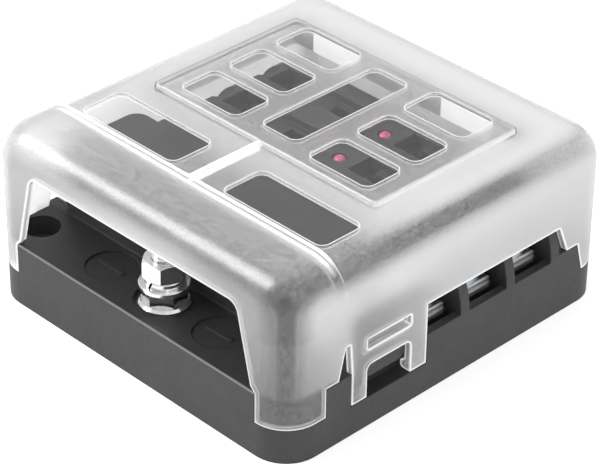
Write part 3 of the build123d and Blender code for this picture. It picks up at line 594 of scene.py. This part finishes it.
    def marks(self, tree: bpy.types.NodeTree, spot: CoverSpot) -> CoverMarks:
        """Mark the windows, the white marks of painted glow and the painted shade on the steps.

        Args:
            tree: The material's tree.
            spot: The shaded point.

        Returns:
            The marks, each from nought to one.
        """
        off = self.windows[0].outside(tree, spot.folded)
        for window in self.windows[1:]:
            off = add(tree, "Math:MINIMUM", off, window.outside(tree, spot.folded))
        clear = add(tree, "MapRange", off, *metres(self.window_ramp_mm))
        clear = add(tree, "Math:MULTIPLY", clear, spot.roof)
        # Painted white glow on the window rims.
        rim = add(tree, "Math:MULTIPLY", mark_line(tree, off, *self.rim_mm), spot.roof)
        rim = add(tree, "Math:MULTIPLY", rim, self.painted_rim_glow)
        pale, dark = self.steps(tree, spot)
        white = add(tree, "Math:MAXIMUM", self.cut_edges(tree, spot), pale)
        white = add(tree, "Math:MAXIMUM", white,
                    add(tree, "Math:MAXIMUM", rim, self.ridges(tree, spot)))
        return CoverMarks(clear, white, dark, add(tree, "Math:MAXIMUM", white, dark))

    def clarity(self, tree: bpy.types.NodeTree, spot: CoverSpot, marks: CoverMarks,
                rounded: Socket) -> Socket:
        """Work out how much of the light goes through the wall.

        Args:
            tree: The material's tree.
            spot: The shaded point.
            marks: The marks at it.
            rounded: How far it lies on a bend.

        Returns:
            The share that goes through.
        """
        wall = add(tree, "MapRange", spot.any_corner, *metres(self.wall_ramp_mm))
        wall = add(tree, "Mix", spot.low,
                   inputs={NUMBER_BELOW: wall, NUMBER_ABOVE: self.low_through})
        border = add(tree, "MapRange", spot.pad, *metres(self.border_ramp_mm))
        start, end = (self.pad[2] + v for v in self.border_start_mm)
        rearward = add(tree, "MapRange", spot.y, *metres((start, end, 0, 1)))
        border = add(tree, "Math:MULTIPLY", border, rearward)
        roof = add(tree, "Mix", border,
                   inputs={NUMBER_BELOW: self.roof_through, NUMBER_ABOVE: self.border_through})
        flat = add(tree, "Mix", spot.lying, inputs={NUMBER_BELOW: wall, NUMBER_ABOVE: roof})
        ball = add(tree, "MapRange", spot.squareness, *self.ball_ramp)
        skin = add(tree, "Mix", rounded, inputs={NUMBER_BELOW: flat, NUMBER_ABOVE: ball})
        mottle = add(tree, "MapRange", self.grain(tree, self.mottle_mm), *NOISE_SPAN,
                     *self.mottle_range)
        skin = add(tree, "Math:MULTIPLY", skin, mottle)
        skin = add(tree, "Mix", marks.solid, inputs={NUMBER_BELOW: skin, NUMBER_ABOVE: 0.0})
        return add(tree, "Mix", marks.window, inputs={NUMBER_BELOW: skin, NUMBER_ABOVE: 1.0})

    def roughness(self, tree: bpy.types.NodeTree, marks: CoverMarks, rounded: Socket) -> Socket:
        """Work out the frost's roughness.

        Args:
            tree: The material's tree.
            marks: The marks at the shaded point.
            rounded: How far it lies on a bend.

        Returns:
            The roughness.
        """
        frost = add(tree, "MapRange", self.grain(tree, self.grain_mm), *NOISE_SPAN,
                    *self.rough_range)
        smooth = add(tree, "MapRange", rounded, *self.smooth_ramp)
        frost = add(tree, "Math:MULTIPLY", frost, smooth)
        return add(tree, "Mix", marks.window,
                   inputs={NUMBER_BELOW: frost, NUMBER_ABOVE: self.window_rough})

    def colour(self, tree: bpy.types.NodeTree, spot: CoverSpot, marks: CoverMarks) -> Socket:
        """Work out the colour: painted shade by the near corner and on far steps, specks on bends.

        Args:
            tree: The material's tree.
            spot: The shaded point.
            marks: The marks at it.

        Returns:
            The colour.
        """
        # Painted shade darkens the walls, a blotch and the legs by the near front corner.
        painted_shade = add(tree, "MapRange", spot.near_corner, *metres(self.painted_shade_ramp_mm))
        upright = add(tree, "Math:SUBTRACT", 1.0, spot.lying)
        painted_shade = add(tree, "Math:MULTIPLY", painted_shade, upright)
        blotch = add(tree, "Math:MULTIPLY", mark_line(tree, spot.z, *self.blotch_mm),
                     add(tree, "MapRange", spot.near_corner, *metres(self.blotch_ramp_mm)))
        low = add(tree, "Math:MULTIPLY", spot.low, self.painted_leg_shade)
        by_corner = add(tree, "MapRange", spot.near_corner, *metres(self.leg_ramp_mm))
        deep = add(tree, "Math:MULTIPLY", add(tree, "Math:MAXIMUM", blotch, low), by_corner)
        painted_shade = add(tree, "Math:MAXIMUM", painted_shade, deep)
        speck = add(tree, "MapRange", self.grain(tree, self.speck_mm, 3.0, 0.7), *self.speck_ramp)
        on_bend = add(tree, "MapRange", spot.bend, *self.speck_bend_ramp)
        speck = add(tree, "Math:MULTIPLY", speck, on_bend)
        speck = add(tree, "Mix", marks.window, inputs={NUMBER_BELOW: speck, NUMBER_ABOVE: 0.0})
        layers = [(painted_shade, self.painted_shade), (speck, self.speck), (marks.dark, self.step)]
        return lay_over(tree, layers, linear(self.skin))

    def glow(self, tree: bpy.types.NodeTree, spot: CoverSpot, marks: CoverMarks) -> Socket:
        """Work out how much of the wall only passes light on softly, as milk does.

        Args:
            tree: The material's tree.
            spot: The shaded point.
            marks: The marks at it.

        Returns:
            The milky share.
        """
        inner_side, inner_end = (v * MM for v in self.inside)
        within_side = add(tree, "Math:LESS_THAN", spot.side, inner_side)
        within_end = add(tree, "Math:LESS_THAN", add(tree, "Math:ABSOLUTE", spot.y), inner_end)
        inner = add(tree, "Math:MULTIPLY", within_side, within_end)
        wall = add(tree, "Mix", inner,
                   inputs={NUMBER_BELOW: self.wall_glow, NUMBER_ABOVE: self.inner_glow})
        flat = add(tree, "Mix", spot.lying,
                   inputs={NUMBER_BELOW: wall, NUMBER_ABOVE: self.roof_glow})
        glow = add(tree, "Mix", spot.bend, inputs={NUMBER_BELOW: flat, NUMBER_ABOVE: 0.0})
        glow = add(tree, "Math:MULTIPLY", glow, add(tree, "Math:SUBTRACT", 1.0, spot.low))
        bare = add(tree, "Math:MAXIMUM", marks.window, marks.solid)
        return add(tree, "Mix", bare, inputs={NUMBER_BELOW: glow, NUMBER_ABOVE: 0.0})

    def make(self) -> bpy.types.Material:
        """Build the material.

        Returns:
            The material.
        """
        material, tree = self.start()
        spot = self.spot(tree)
        marks = self.marks(tree, spot)
        tall = add(tree, "MapRange", spot.upness, *self.tall_ramp)
        rounded = add(tree, "Math:MULTIPLY", spot.bend, tall)
        in_shadow = add(tree, "LightPath", out="Is Shadow Ray")
        shader = add(tree, "BsdfPrincipled", inputs={
            "Base Color": self.colour(tree, spot, marks),
            "Roughness": self.roughness(tree, marks, rounded),
            "Transmission Weight": self.clarity(tree, spot, marks, rounded),
            "Coat Weight": add(tree, "Mix", marks.window,
                               inputs={NUMBER_BELOW: self.coat, NUMBER_ABOVE: 0.0}),
            "Alpha": add(tree, "MapRange", in_shadow, 0, 1, 1.0, self.shadow),
            # Painted glow: the white marks shine though nothing lights them.
            "Emission Strength": add(tree, "Math:MULTIPLY", marks.white, self.edge_light),
            "Emission Color": (1.0, 1.0, 1.0, 1.0),
            "IOR": 1.35,
            "Coat Roughness": self.coat_rough,
        })
        milk = add(tree, "BsdfTranslucent", linear(self.skin))
        both = add(tree, "MixShader", self.glow(tree, spot, marks), shader, milk)
        add(tree, "OutputMaterial", both, out=None)
        return material


@dataclass(frozen=True)
class PlatedMetal(Finish):
    """Turned or pressed metal under a thin bright plating.

    Nickel is warm and mirror-like with fine turning marks, zinc is cooler and duller,
    and tin is soft and grey-white.
    """

    plating: Plating = Plating.NICKEL
    stain_mm: float = 2.5
    mark_mm: float = 0.12
    mark_depth_mm: float = 0.008
    mark_strength: float = 0.3
    edge_mm: float = 0.12

    def looks(self) -> tuple[str, str, float, float]:
        """Look up how the plating shows.

        Returns:
            Its dark and pale colour, and its low and high roughness.
        """
        return {
            Plating.NICKEL: ("dcdcdc", "f0f0f0", 0.1, 0.2),
            Plating.ZINC: ("b9bdc1", "d0d3d6", 0.24, 0.38),
            Plating.TIN: ("c0bfbb", "d6d5d1", 0.28, 0.42),
        }[self.plating]

    def make(self) -> bpy.types.Material:
        """Build the material.

        Returns:
            The material.
        """
        material, tree = self.start()
        dark, pale, smooth, rough = self.looks()
        stain = self.grain(tree, self.stain_mm, 4.0)
        marks = self.grain(tree, self.mark_mm)
        shader = add(tree, "BsdfPrincipled", inputs={
            "Base Color": self.cloud(tree, stain, dark, pale),
            "Roughness": add(tree, "MapRange", marks, *NOISE_SPAN, smooth, rough),
            "Normal": self.relief(tree, marks, self.mark_depth_mm, self.mark_strength,
                                  self.edge_mm),
            "Metallic": 1.0,
        })
        add(tree, "OutputMaterial", shader, out=None)
        return material


@dataclass(frozen=True)
class LampEpoxy(Finish):
    """Tinted epoxy, cast round the lamp's chip, which is clear and glossy like sweets."""

    body: str = "cc4880"
    pale: str = "e070a0"
    cloud_mm: float = 1.2
    scatter_mm: float = 1.0

    def make(self) -> bpy.types.Material:
        """Build the material.

        Returns:
            The material.
        """
        material, tree = self.start()
        cloud = self.grain(tree, self.cloud_mm)
        shader = add(tree, "BsdfPrincipled", inputs={
            "Base Color": self.cloud(tree, cloud, self.body, self.pale),
            "Roughness": 0.12,
            "IOR": 1.54,
            "Transmission Weight": 0.1,
            "Subsurface Weight": 0.3,
            "Subsurface Scale": self.scatter_mm * MM,
        })
        add(tree, "OutputMaterial", shader, out=None)
        return material


@dataclass(frozen=True)
class SolderMask(Finish):
    """Glass fibre laminate under a green solder mask, rolled on, so it has a slight orange peel."""

    dark: str = "1d5a33"
    pale: str = "24663c"
    weave_mm: float = 0.8
    weave_depth_mm: float = 0.02

    def make(self) -> bpy.types.Material:
        """Build the material.

        Returns:
            The material.
        """
        material, tree = self.start()
        weave = self.grain(tree, self.weave_mm, 3.0)
        shader = add(tree, "BsdfPrincipled", inputs={
            "Base Color": self.cloud(tree, weave, self.dark, self.pale),
            "Normal": self.relief(tree, weave, self.weave_depth_mm, 0.3),
            "Roughness": 0.35,
            "IOR": 1.5,
        })
        add(tree, "OutputMaterial", shader, out=None)
        return material


@dataclass(frozen=True)
class CoatedCeramic(Finish):
    """A resistor chip's black glaze on ceramic, fired, with a faint grain."""

    dark: str = "1d1d20"
    pale: str = "29292c"
    grain_mm: float = 0.15
    grain_depth_mm: float = 0.01
    edge_mm: float = 0.05

    def make(self) -> bpy.types.Material:
        """Build the material.

        Returns:
            The material.
        """
        material, tree = self.start()
        grain = self.grain(tree, self.grain_mm)
        shader = add(tree, "BsdfPrincipled", inputs={
            "Base Color": self.cloud(tree, grain, self.dark, self.pale),
            "Normal": self.relief(tree, grain, self.grain_depth_mm, 0.3, self.edge_mm),
            "Roughness": 0.3,
            "IOR": 1.5,
        })
        add(tree, "OutputMaterial", shader, out=None)
        return material


def seen_rays(tree: bpy.types.NodeTree) -> Socket:
    """Tell the rays that show what they meet from those that only light it.

    Args:
        tree: The tree that takes the nodes.

    Returns:
        One for a camera, glossy or transmission ray, and nought for any other.
    """
    ray = add(tree, "LightPath", out=None)
    seen = add(tree, "Math:MAXIMUM", ray["Is Camera Ray"], ray["Is Glossy Ray"])
    return add(tree, "Math:MAXIMUM", seen, ray["Is Transmission Ray"])


@dataclass(frozen=True)
class StudioPaper(Finish):
    """White studio paper, which takes the box's shadow and is white to the eye elsewhere."""

    dark: str = "e6e6e6"
    pale: str = "e9e9e9"
    fibre_mm: float = 3.0
    lift: float = 0.62

    def make(self) -> bpy.types.Material:
        """Build the material.

        Returns:
            The material.
        """
        material, tree = self.start()
        fibre = self.grain(tree, self.fibre_mm, 3.0)
        paper = add(tree, "BsdfDiffuse", self.cloud(tree, fibre, self.dark, self.pale))
        lift = add(tree, "Math:MULTIPLY", seen_rays(tree), self.lift)
        glow = add(tree, "Emission", inputs={"Strength": lift})
        add(tree, "OutputMaterial", add(tree, "AddShader", paper, glow), out=None)
        return material


def dress(node: str, material: bpy.types.Material) -> None:
    """Give a CAD node its finish.

    Args:
        node: The node's name.
        material: The finish.
    """
    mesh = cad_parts[node].data
    if not mesh.materials:
        mesh.materials.append(material)
    for index in range(len(mesh.materials)):
        mesh.materials[index] = material
    log.info("dressed %s in %s", node, material.name)


def nodes_named(*stems: str) -> list[str]:
    """List the CAD nodes whose names start with any of the stems."""
    return sorted(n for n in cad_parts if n.startswith(stems))


@dataclass
class Base:
    """The black moulding and the plate that closes it from below."""

    finish: MouldedNylon = field(default_factory=lambda: MouldedNylon("moulded_black_nylon"))

    def build(self) -> None:
        """Dress the base and its plate."""
        material = self.finish.make()
        for node in ("base", "back_plate"):
            dress(node, material)


@dataclass
class Cover:
    """The frosted cover with its polished windows, in millimetres."""

    label_span: Numbers = (6.8, 34.0, -27.7, -16.9)
    sight_in: float = 10.0
    sight_out: float = 26.4
    sight_half: float = 4.9
    row_mid: float = 9.8
    row_pitch: float = 13.1
    middle_half: float = 5.0
    middle_length: float = 32.0
    pad_span: Numbers = (-31.2, 31.2, -11.0, 29.2)
    crest_span: Numbers = (-30.5, -29.5)
    front_corner: Numbers = (42.5, -45.0)
    inner_faces: Numbers = (41.6, 44.1)

    def windows(self) -> tuple[Window, ...]:
        """List the windows of the right half and the middle.

        Returns:
            The front window, the three sights from the front back, and the middle one.
        """
        found = [Window(self.label_span)]
        for step in (-1, 0, 1):
            y = self.row_mid + step * self.row_pitch
            found.append(Window((self.sight_in, self.sight_out, y - self.sight_half,
                                 y + self.sight_half)))
        found.append(Window((-self.middle_half, self.middle_half,
                             self.row_mid - self.middle_length / 2,
                             self.row_mid + self.middle_length / 2)))
        return tuple(found)

    def build(self) -> None:
        """Dress the cover."""
        finish = FrostedPolycarbonate(
            "frosted_polycarbonate", windows=self.windows(), pad=self.pad_span,
            crest=self.crest_span, corner=self.front_corner, inside=self.inner_faces)
        dress("cover", finish.make())


@dataclass
class InputStud:
    """The threaded stud with its nuts and washers, in millimetres."""

    pitch: float = 0.8
    depth: float = 0.32
    radius: float = 2.5
    bevel: float = 0.6
    head_height: float = 3.5
    head_half: float = 4.0
    crest_share: float = 0.12
    flank_share: float = 0.78
    around: int = 64
    steps_a_turn: int = 10

    def thread_radius(self, angle: float, height: float, top: float) -> float:
        """Give the thread's radius at one place.

        Args:
            angle: The way round, in radians.
            height: The height in millimetres.
            top: The height of the stud's end.

        Returns:
            The radius in millimetres, which shrinks at the bevelled end.
        """
        phase = (height / self.pitch - angle / (2 * math.pi)) % 1.0
        flank = abs(2 * phase - 1)
        cut = min(1.0, max(0.0, (flank - self.crest_share) / self.flank_share))
        radius = self.radius - self.depth * cut
        return min(radius, self.radius - self.bevel + max(0.0, top - height))

    def add_shank(self, vertices: list, faces: list, middle: Numbers, low: float,
                  top: float) -> None:
        """Add the threaded shank and its upper end.

        Args:
            vertices: The mesh's corners so far, in metres.
            faces: Its faces so far.
            middle: The stud's middle in the plan.
            low: The height of the shank's foot.
            top: The height of its end.
        """
        cx, cy = middle
        rings = int((top - low) / self.pitch * self.steps_a_turn)
        for ring in range(rings + 1):
            z = low + (top - low) * ring / rings
            for k in range(self.around):
                angle = 2 * math.pi * k / self.around
                r = self.thread_radius(angle, z, top)
                vertices.append(((cx + r * math.cos(angle)) * MM,
                                 (cy + r * math.sin(angle)) * MM, z * MM))
        for ring in range(rings):
            for k in range(self.around):
                a = ring * self.around + k
                b = ring * self.around + (k + 1) % self.around
                faces.append((a, b, b + self.around, a + self.around))
        faces.append(tuple(rings * self.around + k for k in range(self.around)))

    def add_head(self, vertices: list, faces: list, middle: Numbers, low: float,
                 top: float) -> None:
        """Add the hexagon head, and close the thread's lower end on it.

        Args:
            vertices: The mesh's corners so far, in metres.
            faces: Its faces so far.
            middle: The stud's middle in the plan.
            low: The height of the head's underside.
            top: The height of its upper face.
        """
        cx, cy = middle
        corner = self.head_half / math.cos(math.radians(30))
        start = len(vertices)
        for z in (low, top):
            for k in range(6):
                angle = math.radians(60 * k + 30)
                vertices.append(((cx + corner * math.cos(angle)) * MM,
                                 (cy + corner * math.sin(angle)) * MM, z * MM))
        for k in range(6):
            n = (k + 1) % 6
            faces.append((start + k, start + n, start + 6 + n, start + 6 + k))
        faces.append(tuple(start + k for k in reversed(range(6))))
        faces.append(tuple(start + 6 + k for k in range(6)))
        faces.append(tuple(reversed(range(self.around))))

    def build(self) -> None:
        """Dress the nuts and washers, and build the threaded stud in the CAD one's place."""
        nickel = PlatedMetal("nickel_plated_steel").make()
        for node in ("flange_nut", "flat_washer", "spring_washer", "top_nut"):
            dress(node, nickel)
        low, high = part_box("input_stud")
        foot, top = low.z / MM, high.z / MM
        middle = ((low.x + high.x) / 2 / MM, (low.y + high.y) / 2 / MM)
        vertices, faces = [], []
        self.add_shank(vertices, faces, middle, foot + self.head_height, top)
        self.add_head(vertices, faces, middle, foot, foot + self.head_height)
        mesh = bpy.data.meshes.new("threaded_stud")
        mesh.from_pydata(vertices, [], faces)
        mesh.validate()
        mesh.materials.append(nickel)
        stud = bpy.data.objects.new("threaded_stud", mesh)
        bpy.context.scene.collection.objects.link(stud)
        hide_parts("input_stud")
        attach(stud, "housing")
        log.info("built threaded_stud with %d faces", len(faces))


@dataclass
class Outputs:
    """The bus strip, terminals and screws."""

    def build(self) -> None:
        """Dress the copper alloy parts in tin and the screws in zinc."""
        tin = PlatedMetal("tin_plated_brass", Plating.TIN).make()
        zinc = PlatedMetal("zinc_plated_steel", Plating.ZINC).make()
        for node in ["bus_strip"] + [n for n in nodes_named("terminal_") if "screw" not in n]:
            dress(node, tin)
        for node in nodes_named("terminal_screw", "clamp_washer", "plate_screws", "board_screws",
                                "strip_screws"):
            dress(node, zinc)


@dataclass
class Indicators:
    """The board with its lamps and resistors."""

    def build(self) -> None:
        """Dress the board, the lamps and the resistors."""
        dress("indicator_board", SolderMask("green_solder_mask").make())
        lamp = LampEpoxy("tinted_lamp_epoxy").make()
        chip = CoatedCeramic("glazed_resistor_ceramic").make()
        for node in nodes_named("led_"):
            dress(node, lamp)
        for node in nodes_named("resistor_"):
            dress(node, chip)


@dataclass
class Studio:
    """Floor, soft lamps, white surroundings and the camera.

    Lamp places and sizes and the floor are in metres.
    """

    azimuth: float = 45.33
    elevation: float = 33.13
    roll: float = 0.70
    distance_mm: float = 533.3
    focal_px: float = 2688.6
    target_mm: Numbers = (5.21, -4.94, 18.0)
    clip_start: float = 0.01
    floor_half: float = 2.5
    world_light: float = 0.67
    key_place: Numbers = (-0.55, -0.55, 0.75)
    key_size: float = 0.45
    key_watts: float = 5.2
    fill_place: Numbers = (0.8, -0.1, 0.5)
    fill_size: float = 0.8
    fill_watts: float = 1.8
    lamp_aim: Numbers = (0, 0, 0.02)

    def axes(self) -> tuple[Vector, Vector, Vector]:
        """Work out how the camera is turned.

        Returns:
            Its right, up and backward directions.
        """
        az, el, ro = (math.radians(v) for v in (self.azimuth, self.elevation, self.roll))
        back = Vector((math.sin(az) * math.cos(el), -math.cos(az) * math.cos(el), math.sin(el)))
        right = Vector((math.cos(az), math.sin(az), 0))
        up = back.cross(right)
        return (right * math.cos(ro) + up * math.sin(ro),
                up * math.cos(ro) - right * math.sin(ro), back)

    def add_camera(self) -> None:
        """Place the camera at the photograph's viewing angle."""
        right, up, back = self.axes()
        data = bpy.data.cameras.new("camera")
        data.sensor_width = SENSOR_MM
        data.lens = self.focal_px * SENSOR_MM / IMAGE_WIDTH_PX
        data.clip_start = self.clip_start
        camera = bpy.data.objects.new("camera", data)
        place = Vector(self.target_mm) * MM + back * (self.distance_mm * MM)
        camera.matrix_world = Matrix((
            (right.x, up.x, back.x, place.x),
            (right.y, up.y, back.y, place.y),
            (right.z, up.z, back.z, place.z),
            (0, 0, 0, 1)))
        bpy.context.scene.collection.objects.link(camera)
        bpy.context.scene.camera = camera

    def add_lamp(self, name: str, place: Numbers, size: float, watts: float) -> None:
        """Add a square soft lamp that faces the box.

        Args:
            name: The lamp's name.
            place: Where it stands, in metres.
            size: The length of its sides, in metres.
            watts: Its power.
        """
        data = bpy.data.lights.new(name, "AREA")
        data.size = size
        data.energy = watts
        lamp = bpy.data.objects.new(name, data)
        lamp.location = place
        away = Vector(place) - Vector(self.lamp_aim)
        lamp.rotation_euler = away.to_track_quat("Z", "Y").to_euler()
        bpy.context.scene.collection.objects.link(lamp)

    def add_world(self) -> None:
        """Light the scene softly from all round, and show white where it is seen."""
        world = bpy.data.worlds.new("studio_white")
        world.use_nodes = True
        tree = world.node_tree
        tree.nodes.clear()
        level = add(tree, "MapRange", seen_rays(tree), 0, 1, self.world_light, 1.0)
        shade = add(tree, "Background", inputs={"Strength": level})
        add(tree, "OutputWorld", shade, out=None)
        bpy.context.scene.world = world

    def add_floor(self) -> None:
        """Lay the paper under the box."""
        low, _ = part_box("base")
        h = self.floor_half
        corners = [(-h, -h, low.z), (h, -h, low.z), (h, h, low.z), (-h, h, low.z)]
        mesh = bpy.data.meshes.new("studio_floor")
        mesh.from_pydata(corners, [], [(0, 1, 2, 3)])
        mesh.materials.append(StudioPaper("studio_paper").make())
        floor = bpy.data.objects.new("studio_floor", mesh)
        bpy.context.scene.collection.objects.link(floor)

    def build(self) -> None:
        """Set up the whole studio."""
        self.add_world()
        self.add_floor()
        self.add_lamp("key", self.key_place, self.key_size, self.key_watts)
        self.add_lamp("fill", self.fill_place, self.fill_size, self.fill_watts)
        self.add_camera()
        bpy.context.scene.view_settings.view_transform = "Standard"


def main() -> None:
    """Dress every sub-assembly and light it."""
    for part in (Base(), Cover(), InputStud(), Outputs(), Indicators(), Studio()):
        part.build()
        log.info("finished %s", type(part).__name__)


if __name__ == "__main__":
    main()
